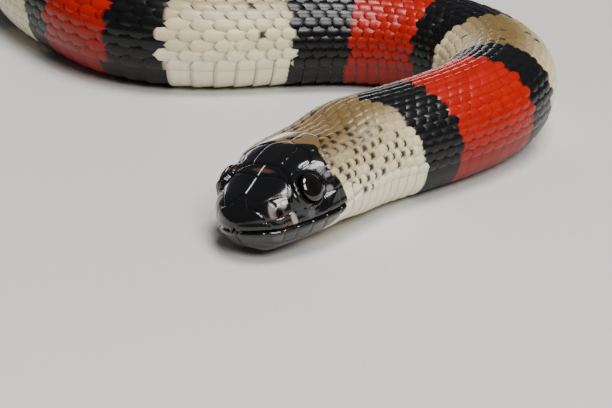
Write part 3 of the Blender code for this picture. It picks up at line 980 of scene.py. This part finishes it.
@dataclass
class Skin:
    """One skin from snout to tail, fine on the head, which replaces every node of flesh."""

    body: Body
    head: Head
    markings: Markings
    bake: BakeMap
    head_columns: int = 304
    trunk_columns: int = 76
    head_rings: int = 208
    trunk_ring: float = 2.2
    # The finest rings run from here to there, and the trunk's begin behind the head.
    first_ring: float = 0.02
    fine_to: float = 16.0
    head_to: float = 26.0
    tip_point: float = 1.0
    belly_seam: float = -0.99999
    off_floor: float = 0.05
    relief_to: float = 16.5
    # How deep the skin lies under the scales, from where on, by head turn, and how suddenly.
    coat_depth: float = 0.30
    coat_from: Table = ((0.0, 12.8), (0.2, 12.3), (0.33, 10.8), (0.45, 9.7), (0.6, 9.3),
                        (0.78, 10.0), (0.9, 12.2), (1.0, 13.2), (1.1, 12.4), (1.3, 10.2),
                        (2.0, 9.4))
    coat_step: float = 0.5
    # Painted shade: how much darker the skin is under the scales and in seams, dark ones and
    # pale ones.
    under_shade: float = 0.68
    seam_shade: float = 0.8
    seam_shade_pale: float = 0.75
    # Lengths of the scales in mm, and the one that counts as full size.
    pitch: Table = ((8, 1.35), (30, 1.55), (45, 1.7), (80, 2.1), (130, 2.6), (200, 2.9),
                    (560, 3.0), (640, 2.6), (700, 1.9), (740, 1.2))
    full_pitch: float = 2.9

    def scale_size(self, at: Array) -> Array:
        """How large the scales are at distances, where 1 stands for the middle of the body."""
        return eased(self.pitch, at) / self.full_pitch

    def lift(self, at: Array, share: Array) -> tuple[Array, Array]:
        """How far the skin stands out from the outline.

        Args:
            at: Distances along the snake.
            share: Girth shares.

        Returns:
            The lift in mm and a seam depth from 0 to 1.
        """
        turn = self.body.turn_of(at, share)
        under = smooth((at - eased(self.coat_from, turn)) / self.coat_step + 0.5)
        lift, seam = np.zeros_like(at), np.zeros_like(at)
        on_head = at < self.relief_to
        lift[on_head], seam[on_head] = self.head.relief(at[on_head], share[on_head])
        depth = self.coat_depth * self.scale_size(at)
        return lift * (1 - under) - depth * under, seam * (1 - under)

    def rings(self) -> list[tuple[float, int]]:
        """The rings of corners, finest on the head.

        Returns:
            Each ring's distance and how many corners it has.
        """
        even = np.linspace(0, 1, self.head_rings)
        fine = self.first_ring + (self.fine_to - self.first_ring) * even**1.3
        head = np.concatenate([fine, np.arange(self.relief_to, self.head_to + 0.1, 0.5)])
        trunk = np.arange(self.head_to + self.trunk_ring, self.body.length - 0.2,
                          self.trunk_ring)
        return ([(s, self.head_columns) for s in head]
                + [(self.head_to + 0.6, self.head_columns // 2),
                   (self.head_to + 1.1, self.trunk_columns)]
                + [(s, self.trunk_columns) for s in trunk])

    def faces(self, counts: list[int]) -> list[tuple[int, ...]]:
        """Faces from ring to ring, and the fans that close the snout and the tail.

        Args:
            counts: How many corners each ring has. A ring has as many as the next, or twice.

        Returns:
            Corner numbers of each face. The two tips are numbered after the rings.
        """
        starts = np.cumsum([0] + counts).tolist()
        faces = []
        for n, m, a, b in zip(counts, counts[1:], starts, starts[1:]):
            if n == m:
                faces += [(a + j, a + (j + 1) % n, b + (j + 1) % n, b + j) for j in range(n)]
                continue
            for j in range(m):
                p, q, r = a + 2 * j, a + 2 * j + 1, a + (2 * j + 2) % n
                faces += [(p, q, b + j), (q, r, b + (j + 1) % m, b + j)]
        first, last = starts[-1], starts[-1] + 1
        n, m, a = counts[0], counts[-1], starts[-2]
        faces += [(first, (j + 1) % n, j) for j in range(n)]
        return faces + [(last, a + j, a + (j + 1) % m) for j in range(m)]

    def build(self) -> bpy.types.Object:
        """Builds the skin mesh.

        Returns:
            The skin.
        """
        rings = self.rings()
        at = np.concatenate([np.full(count, s) for s, count in rings])
        share = np.concatenate([-1 + 2 * np.arange(count) / count for _, count in rings])
        share = np.where(share == -1, self.belly_seam, share)
        lift, seam = self.lift(at, share)
        corners = self.body.surface(at, share, lift)
        corners[:, 2] = np.maximum(corners[:, 2], self.off_floor * MM)
        turn = self.body.turn_of(at, share)
        colours = self.colours(at, share, turn, seam, corners)
        colours = np.concatenate([colours, colours[:1], colours[-1:]])
        tips = [corners[:rings[0][1]].mean(0), corners[-rings[-1][1]:].mean(0)]
        end = self.body.heading[-1]
        tips[1] = tips[1] + np.array([math.cos(end), math.sin(end), 0]) * self.tip_point * MM
        corners = np.concatenate([corners, tips])
        faces = self.faces([count for _, count in rings])
        uvs = self.unwrap(faces, np.concatenate([at, [0.0, self.body.length]]),
                          np.concatenate([share, [0.0, 0.0]]))
        return make_piece("skin", corners, faces, SHIELD_KERATIN.make(), colours, uvs, 60)

    def unwrap(self, faces: list, at: Array, share: Array) -> Array:
        """Map places for each corner of each face, with the seam under the belly.

        Args:
            faces: Corner numbers of each face.
            at: Distances of the corners.
            share: Girth shares of the corners.

        Returns:
            Map places, face by face.
        """
        rows = []
        for face in faces:
            face_at, face_share = at[list(face)], share[list(face)]
            if face_share.max() - face_share.min() > 1:
                face_share = np.where(face_share < 0, face_share + 2, face_share)
            rows.append(self.bake.map(face_at, face_share, np.full(len(face), face_at.mean())))
        return np.concatenate(rows)

    def colours(self, at: Array, share: Array, turn: Array, seam: Array,
                spots: Array) -> Array:
        """Colours of the skin: rings, patches on the head, and painted shade under scales and in
        seams.

        Args:
            at: Distances along the snake.
            share: Girth shares.
            turn: Head turns.
            seam: Depth in a seam from 0 to 1.
            spots: The points' places in metres.

        Returns:
            Linear colours.
        """
        base = self.markings.colour(at, share, turn)
        for patch in self.markings.patches:
            base = patch.over(base, self.body, spots)
        under = smooth((at - eased(self.coat_from, turn) + 0.1) / self.coat_step)
        # Painted shade under the scales, none on the last of the tail, where no scale lies.
        under = (under * smooth((self.body.length - 1.5 - at) / 1.5))[:, None]
        base = base * (1 - self.under_shade * under)
        # Painted shade in the seams, the mouth, the nostrils and round the eyes.
        pale = (base.sum(1) > 0.3)[:, None]
        return base * (1 - np.where(pale, self.seam_shade_pale, self.seam_shade) * seam[:, None])

    def dress(self) -> None:
        """Hides the imported solids of flesh, which the skin stands in for.
        """
        flesh = [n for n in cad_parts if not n.startswith("eye_")]
        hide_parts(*flesh)


@dataclass(frozen=True)
class Plate:
    """The pattern of a scale or a scute: its top's faces, its rim and its map places.

    The map places say where each corner of the top lies along and across the plate.
    """

    faces: list[tuple[int, ...]]
    rim: list[int]
    places: Array

    def closed(self) -> tuple[Array, Array]:
        """Closes the plate with a skirt and an underside.

        Returns:
            Corner numbers of the four-sided faces, and of the three-sided one at the root.
        """
        edge = len(self.rim)
        low = len(self.places) + np.arange(edge)
        skirt = [(self.rim[(i + 1) % edge], self.rim[i], low[i], low[(i + 1) % edge])
                 for i in range(edge)]
        floor = [(low[i], low[(edge - i) % edge], low[edge - i - 1], low[i + 1])
                 for i in range(1, edge // 2)]
        return np.array(self.faces + skirt + floor), np.array([(low[0], low[edge - 1], low[1])])

    def triangles(self) -> int:
        """How many triangles one closed plate has."""
        return 2 * len(self.faces) + 3 * len(self.rim) - 2


@dataclass
class Coat:
    """The scales: rows over the back and sides, most at the neck, and scutes on the belly."""

    body: Body
    skin: Skin
    markings: Markings
    bake: BakeMap
    # From which distance on there are how many rows.
    rows: tuple[tuple[float, int], ...] = ((0.0, 21), (430.0, 19), (560.0, 17), (628.0, 13),
                                           (675.0, 9), (715.0, 7))
    # The girth share where the scutes take over, and how much of a row's width a scale covers.
    belly_edge: Table = ((0, 0.57), (45, 0.575), (110, 0.63), (200, 0.66), (740, 0.66))
    cover: Table = ((8, 0.85), (24, 0.87), (60, 0.95), (110, 1.0), (740, 1.0))
    # Where a scale's root lies from its middle, and how long it is, as shares of its pitch.
    root: float = -0.75
    reach: float = 1.31
    # A full-sized scale in mm: its tip's height over the skin, its dome, how far the tip and the
    # sides drop from it, how deep the root sinks, and how deep the skirt goes.
    thickness: float = 0.17
    dome: float = 0.25
    tip_drop: float = 0.09
    side_drop: float = 0.06
    root_sink: float = 0.06
    skirt: float = 0.15
    # A scute's root, length and how far its sides run forward, as shares of its pitch, and how
    # far it runs under the scales, as a girth share.
    scute_root: float = -0.55
    scute_reach: float = 1.15
    scute_bow: float = 0.14
    scute_tuck: float = 0.045
    # In mm, how deep its root sinks, how far its tip rises above a scale's, and its skirt.
    scute_sink: float = 0.04
    scute_rise: float = 0.14
    scute_skirt: float = 0.12
    tris_limit: int = 190000
    # How large a plate is on the bake map, and how wide it is drawn there.
    map_size: float = 0.0028
    map_width: float = 1.6
    # Painted shade: how much darker rims are, by ring colour, and roots, and what undersides
    # keep.
    # The cream scales' darker rims are partly their own colour.
    rim_shades: tuple[float, float, float] = (0.0, 0.5, 0.62)
    root_shade: float = 0.35
    underside: float = 0.6
    # The chance of a fleck on a cream scale, on the nape and behind it.
    nape_to: float = 27.0
    nape_chance: float = 0.85
    stray_chance: float = 0.12
    fleck_edge: float = 0.06
    # Seeds of the random draws: places and lengths, shades, flecks.
    seeds: tuple[int, int, int] = (11, 23, 31)

    def stations(self) -> Array:
        """Distances of the transverse rows of scales, half a pitch apart.

        Returns:
            The distances.
        """
        step = 0.05
        at = np.arange(8.5, self.body.length - 1.5, step)
        count = np.cumsum(step / eased(self.skin.pitch, at))
        return np.interp(np.arange(0, int(count[-1] * 2) + 1) / 2, count, at)

    def scales(self) -> tuple[Array, Array, Array, Array]:
        """Middles and sizes of all scales of the back and sides.

        Returns:
            Distances, girth shares, lengths in mm and widths as girth shares.
        """
        at, share, long, wide = [], [], [], []
        uneven = np.random.default_rng(self.seeds[0])
        for k, s in enumerate(self.stations()):
            count = [n for start, n in self.rows if s >= start][-1]
            row = np.arange(-(count // 2), count // 2 + 1)
            row = row[(row + k) % 2 == 0]
            gap = 2 * float(eased(self.belly_edge, np.array(s))) / count
            centre = row * gap
            turn = self.body.turn_of(np.full(len(row), s), np.abs(centre))
            keep = s > eased(self.skin.coat_from, turn) - 0.3
            length = float(eased(self.skin.pitch, np.array(s)))
            at.append(s + uneven.uniform(-0.05, 0.05, keep.sum()) * length)
            share.append(centre[keep])
            long.append(np.full(keep.sum(), length) * uneven.uniform(0.96, 1.05, keep.sum()))
            wide.append(np.full(keep.sum(), gap * float(eased(self.cover, np.array(s)))))
        return tuple(np.concatenate(v) for v in (at, share, long, wide))

    def leaf(self, along: int, across: int) -> tuple[Array, Array]:
        """The outline of one scale: a blunt diamond whose sides run in at root and tip.

        Args:
            along: Steps from root to tip.
            across: Steps from side to side.

        Returns:
            Places along and across, from the scale's middle, as shares of its size.
        """
        t = np.linspace(0, 1, along + 1)
        a = self.root + self.reach * (1 - (1 - t) ** 1.25)
        front = 0.42 + 0.38 * smooth((a - self.root) / 0.7)
        tip = np.clip(1 - np.clip((a + 0.12) / 0.685, 0, 1) ** 1.9, 0, 1) ** 0.66
        width = front * np.maximum(tip, 0.10)
        c = np.linspace(-1, 1, across + 1)
        aa, cc = np.meshgrid(a, c, indexing="ij")
        aa = aa - 0.10 * np.abs(cc) ** 2 * smooth((aa - 0.3) / 0.25)
        return aa.ravel(), (cc * width[:, None]).ravel()

    def build_scales(self) -> list[bpy.types.Object]:
        """Builds the coat of scales in a few joined pieces.

        Returns:
            The pieces, from the head to the tail.
        """
        at, share, long, wide = (v[:, None] for v in self.scales())
        steps = 7, 6
        a, b = self.leaf(*steps)
        plate = Plate(*grid_faces(*steps), np.stack([a, b], -1))
        rim = plate.rim
        # A scale takes its ring colour half way between its middle and each of its corners.
        half_at, half_share = at + 0.5 * a * long, share + 0.5 * b * wide
        turn = self.body.turn_of(half_at, half_share)
        tone = self.markings.tone(half_at, half_share, turn)
        base = self.markings.colour(half_at, half_share, turn, tone)
        shade = np.random.default_rng(self.seeds[1]).uniform(0.93, 1.07, len(at))
        base = base * shade[:, None, None]
        rise = (a - self.root) / self.reach
        across = b / np.abs(b).max()
        dome = self.dome * (1 - across**2) * smooth(rise * 3)
        rounding = -self.tip_drop * smooth((rise - 0.82) / 0.18) - self.side_drop * across**4
        raised = (-self.skin.coat_depth - self.root_sink
                  + (self.thickness + self.root_sink) * rise**0.8)
        size = self.skin.scale_size(at)
        lift = raised * size + (dome + rounding) * size**0.6
        flat_at, flat_share = at + a * long, np.clip(share + b * wide, -0.999, 0.999)
        low_at = at + a[rim] * long * 0.9
        low_share = share + b[rim] * wide * 0.9
        groups = np.arange(1, len(at) + 1) * plate.triangles() // self.tris_limit
        material = SCALE_KERATIN.make()
        pieces = []
        for g in np.unique(groups):
            mine = groups == g
            upper = self.body.surface(flat_at[mine], flat_share[mine], lift[mine])
            lower = self.body.surface(low_at[mine], low_share[mine],
                                      lift[mine][:, rim] - self.skirt * size[mine])
            colours = self._tint(at[mine, 0], share[mine, 0], tone[mine], base[mine], rise,
                                 across)
            pieces.append(self._piece(f"scales_{g + 1}", plate, upper, lower, 0.0, material,
                                      at[mine, 0], share[mine, 0], colours))
        return pieces

    def _tint(self, at: Array, share: Array, tone: Array, base: Array,
              rise: Array, across: Array) -> Array:
        """Colours of scales: the rings' own, painted shade at root and rim, and some with a
        fleck.

        Args:
            at: Distances of the scales' middles.
            share: Girth shares of the scales' middles.
            tone: Ring colours, one for each corner of each scale.
            base: Linear colours of the same corners.
            rise: How far each corner lies from root to tip, 0 to 1.
            across: How far each corner lies to a side, -1 to 1.

        Returns:
            Linear colours of the corners.
        """
        # Painted shade at the tip and sides, and at the root, where the scale ahead lies over
        # it.
        edge = smooth((rise - 0.86) / 0.14) + smooth((np.abs(across) - 0.6) / 0.4) * 0.7
        root = 1 - self.root_shade * smooth((0.35 - rise) / 0.35)
        colours = base * (root * (1 - np.array(self.rim_shades)[tone] * edge))[..., None]
        marks = self.markings
        uneven = np.random.default_rng(self.seeds[2])
        down = np.abs(share)
        inside = (smooth((down - eased(marks.fleck_above, at)) / self.fleck_edge + 0.5)
                  * smooth((eased(marks.fleck_below, at) - down) / self.fleck_edge + 0.5)
                  * smooth((marks.fleck_end - at) / 2))
        on_nape = at < self.nape_to
        chance = np.where(on_nape, self.nape_chance * inside,
                          self.stray_chance * smooth((0.5 - down) / 0.1))
        flecked = (tone == Tone.CREAM.value).all(1) & (uneven.random(len(at)) < chance)
        size = uneven.uniform(0.6, 1.0, len(at)) * np.where(on_nape, 1.0, 0.7)
        # A fleck lies on the front of the part that shows, clear of the scale's sides.
        spot = (smooth((rise - 0.1) / 0.1) * smooth((0.36 + 0.24 * size[:, None] - rise) / 0.12)
                * smooth((0.66 - np.abs(across)) / 0.25))
        return mix(colours, linear(marks.fleck), (flecked[:, None] * spot)[..., None])

    def _piece(self, name: str, plate: Plate, upper: Array, lower: Array, lowest: float,
               material: bpy.types.Material, at: Array, share: Array,
               colours: Array) -> bpy.types.Object:
        """Joins many closed plates of one pattern into a piece with its bake map.

        Args:
            name: The piece's name.
            plate: The pattern.
            upper: Places of the tops' corners, plate by plate, in metres.
            lower: Places of the undersides' corners, which follow the rim.
            lowest: The least height of a corner in mm.
            material: The finish.
            at: Distances of the plates' middles.
            share: Girth shares of the plates' middles.
            colours: Linear colours of the tops' corners.

        Returns:
            The piece.
        """
        corners = np.concatenate([upper, lower], axis=1)
        corners[..., 2] = np.maximum(corners[..., 2], lowest * MM)
        # Painted shade: the undersides take darker copies of the rims' colours.
        colours = np.concatenate([colours, colours[:, plate.rim] * self.underside], axis=1)
        count, each = corners.shape[:2]
        offsets = (np.arange(count) * each)[:, None, None]
        quads, ends = ((faces + offsets).reshape(-1, faces.shape[1])
                       for faces in plate.closed())
        places = np.concatenate([plate.places, plate.places[plate.rim]])
        local = places / np.array([self.reach, self.map_width]) * self.map_size
        spots = (self.bake.map(at, share, at)[:, None, :] + local).reshape(-1, 2)
        uvs = np.concatenate([spots[quads].reshape(-1, 2), spots[ends].reshape(-1, 2)])
        return make_piece(name, corners.reshape(-1, 3), quads.tolist() + ends.tolist(),
                          material, colours.reshape(-1, 3), uvs)

    def build_scutes(self) -> bpy.types.Object:
        """Builds the belly scutes, each a broad plate that overlaps the next behind it.

        Returns:
            The joined scutes.
        """
        at = self.stations()[::2]
        at = at[at > 10.5]
        long = eased(self.skin.pitch, at)[:, None]
        along, across = 5, 22
        aa, cc = np.meshgrid(np.linspace(0, 1, along + 1), np.linspace(-1, 1, across + 1),
                             indexing="ij")
        a, c = aa.ravel(), cc.ravel()
        plate = Plate(*grid_faces(along, across), np.stack([a - 0.5, c * 0.6], -1))
        rim = plate.rim
        half = 1 + self.scute_tuck - eased(self.belly_edge, at)[:, None]
        s = at[:, None] + (self.scute_root + self.scute_reach * a
                           - self.scute_bow * np.abs(c)**3) * long
        share = 1 - c * half
        share = np.clip(np.where(share > 1, share - 2, share), -0.9999, 0.9999)
        lift = (-self.skin.coat_depth - self.scute_sink
                + (self.thickness + self.scute_rise) * a**0.9)
        lift = lift * self.skin.scale_size(at)[:, None]
        upper = self.body.surface(s, share, lift)
        lower = self.body.surface(s[:, rim], share[:, rim], lift[:, rim] - self.scute_skirt)
        # A scute takes the ring colour of the flank beside it.
        turn = self.body.turn_of(at, np.full_like(at, 0.95))
        flank = np.full_like(at, 0.72)
        tone = self.markings.tone(at, flank, turn)
        base = self.markings.colour(at, flank, turn, tone)
        # Painted shade along each scute's rear edge and sides.
        edge = 1 - 0.45 * np.maximum(smooth((a - 0.85) / 0.15), smooth((np.abs(c) - 0.9) / 0.1))
        piece = self._piece("belly_scutes", plate, upper, lower, 0.02, SCUTE_KERATIN.make(),
                            at, np.full_like(at, 0.97), base[:, None, :] * edge[:, None])
        return piece


@dataclass
class Eyes:
    """Both eyes, each a ball with a dark iris round a black pupil under the spectacle."""

    head: Head
    pupil: str = "#050404"
    iris: str = "#110a06"
    segments: int = 64
    rings: int = 40
    # Degrees from the pupil's middle: where the iris begins and ends, and how soft each edge is.
    iris_from: tuple[float, float] = (34.0, 4.0)
    iris_to: tuple[float, float] = (64.0, 12.0)

    def ball(self) -> tuple[Array, list[tuple[int, ...]]]:
        """A round ball of radius 1 with its poles along Z.

        Returns:
            Places of the corners, and the corner numbers of each face.
        """
        n, rows = self.segments, self.rings - 2
        polar = np.linspace(0, math.pi, self.rings + 1)[1:-1]
        around = np.arange(n) * 2 * math.pi / n
        corners = [(math.sin(p) * math.cos(q), math.sin(p) * math.sin(q), math.cos(p))
                   for p in polar for q in around]
        top, foot = len(corners), len(corners) + 1
        faces = [(i * n + j, (i + 1) * n + j, (i + 1) * n + (j + 1) % n, i * n + (j + 1) % n)
                 for i in range(rows) for j in range(n)]
        faces += [(top, j, (j + 1) % n) for j in range(n)]
        faces += [(foot, rows * n + (j + 1) % n, rows * n + j) for j in range(n)]
        return np.array(corners + [(0, 0, 1), (0, 0, -1)]), faces

    def build(self) -> list[bpy.types.Object]:
        """Builds the two eyes in place of their nodes.

        Returns:
            The left eye and the right eye.
        """
        cornea = Cornea("Spectacle_cornea_wet").make()
        ball, faces = self.ball()
        angle = np.degrees(np.arccos(np.clip(ball[:, 2], -1, 1)))
        ring = (smooth((angle - self.iris_from[0]) / self.iris_from[1])
                * smooth((self.iris_to[0] - angle) / self.iris_to[1]))[:, None]
        colours = mix(linear(self.pupil), linear(self.iris), ring)
        uvs = np.concatenate([ball[list(face)][:, :2] * 0.45 + 0.5 for face in faces])
        radius = self.head.eye_radius
        pieces = []
        for name, sign in (("left", -1), ("right", 1)):
            centre, outward = self.head.eye_seat(sign)
            turn = np.array(Vector(outward).to_track_quat("Z", "Y").to_matrix())
            corners = ball * (1, 1, self.head.eye_flat / radius) @ turn.T * radius * MM + centre
            piece = make_piece(f"eye_ball_{name}", corners, faces, cornea, colours, uvs, 180)
            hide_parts(f"eye_{name}")
            pieces.append(piece)
        return pieces


@dataclass
class Studio:
    """The pale floor, the soft lights and the camera at the photograph's angle."""

    body: Body
    pitch: float = 23.917
    focal_pixels: float = 1378.0
    camera_height: float = 60.54
    roll: float = 0.378
    # The route at this distance lies so many mm from the floor point in the view's middle.
    anchor_at: float = 60.5
    anchor: tuple[float, float] = (21.437, 34.206)
    floor_half: float = 3.0
    card: str = "#cbc9c4"
    lens_width: float = 36.0
    image_width: int = 612
    # Each light: its name, place from the head in metres, width, height and watts.
    lights: tuple[tuple[str, tuple[float, float, float], float, float, float], ...] = (
        ("key", (0.163, -0.307, 0.36), 0.22, 0.22, 2.4),
        ("top", (0.10, -0.06, 0.60), 0.26, 0.26, 4.4),
        ("rim", (-0.15, 0.50, 0.06), 0.42, 0.08, 0.55))
    lit_at: float = 20.0
    lit_height: float = 8.0
    air: tuple[float, float, float, float] = (0.9, 0.93, 1.0, 1.0)
    air_strength: float = 0.10

    def build(self) -> None:
        """Builds the whole set."""
        self._floor()
        self._camera()
        self._lights()

    def _floor(self) -> None:
        """A plain floor of matt card, just under the belly."""
        mesh = bpy.data.meshes.new("floor")
        size = self.floor_half
        mesh.from_pydata([(-size, -size, 0), (size, -size, 0), (size, size, 0),
                          (-size, size, 0)], [], [(0, 1, 2, 3)])
        floor = bpy.data.objects.new("floor", mesh)
        bpy.context.scene.collection.objects.link(floor)
        # Matt card scatters light evenly, so the floor shows soft shadows and no highlights.
        material, _, shader = start_material("Floor_matt_card")
        set_inputs(shader, {"Base Color": (*linear(self.card), 1.0), "Roughness": 0.6})
        mesh.materials.append(material)

    def _camera(self) -> None:
        """The camera, placed from the fit to the photograph's outlines."""
        spot = self.body.place(np.array(self.anchor_at), np.array(0.0), np.array(0.0))
        spot = spot - np.array([*self.anchor, 0]) * MM
        spot[2] = 0.0
        pitch, roll = math.radians(self.pitch), math.radians(self.roll)
        place = spot + np.array([0, -self.camera_height / math.tan(pitch),
                                 self.camera_height]) * MM
        forward = Vector((0, math.cos(pitch), -math.sin(pitch)))
        right = Vector((1, 0, 0))
        up = right.cross(forward)
        tilted_right = right * math.cos(roll) + up * math.sin(roll)
        tilted_up = up * math.cos(roll) - right * math.sin(roll)
        data = bpy.data.cameras.new("camera")
        data.sensor_fit = "HORIZONTAL"
        data.sensor_width = self.lens_width
        data.lens = self.focal_pixels * self.lens_width / self.image_width
        data.clip_start = 0.005
        camera = bpy.data.objects.new("camera", data)
        camera.matrix_world = Matrix.Translation(Vector(place)) @ Matrix(
            (tilted_right, tilted_up, -forward)).transposed().to_4x4()
        bpy.context.scene.collection.objects.link(camera)
        bpy.context.scene.camera = camera

    def _lights(self) -> None:
        """Soft boxes: a square key at the camera's right, one overhead, a low one behind."""
        centre = Vector(self.body.place(np.array(self.lit_at), np.array(0.0),
                                        np.array(self.lit_height)))
        for name, offset, wide, tall, power in self.lights:
            data = bpy.data.lights.new(name, "AREA")
            data.shape = "RECTANGLE"
            data.size, data.size_y = wide, tall
            data.energy = power
            light = bpy.data.objects.new(name, data)
            light.location = centre + Vector(offset)
            light.rotation_euler = (-Vector(offset)).to_track_quat("-Z", "Y").to_euler()
            bpy.context.scene.collection.objects.link(light)
        world = bpy.data.worlds.new("studio_air")
        world.use_nodes = True
        set_inputs(world.node_tree.nodes["Background"],
                   {"Color": self.air, "Strength": self.air_strength})
        bpy.context.scene.world = world


def main() -> None:
    """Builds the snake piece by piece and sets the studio."""
    logging.basicConfig(level=logging.INFO, format="%(name)s: %(message)s")
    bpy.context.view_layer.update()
    body = Body()
    markings = Markings()
    bake = BakeMap(body.length)
    head = Head(body)
    skin = Skin(body, head, markings, bake)
    piece = skin.build()
    skin.dress()
    LOG.info("skin: %d faces", len(piece.data.polygons))
    coat = Coat(body, skin, markings, bake)
    for scales in coat.build_scales():
        LOG.info("%s: %d faces", scales.name, len(scales.data.polygons))
    scutes = coat.build_scutes()
    LOG.info("belly scutes: %d faces", len(scutes.data.polygons))
    for eye in Eyes(head).build():
        LOG.info("%s: %d faces", eye.name, len(eye.data.polygons))
    Studio(body).build()
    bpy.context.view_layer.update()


if __name__ == "__main__":
    main()
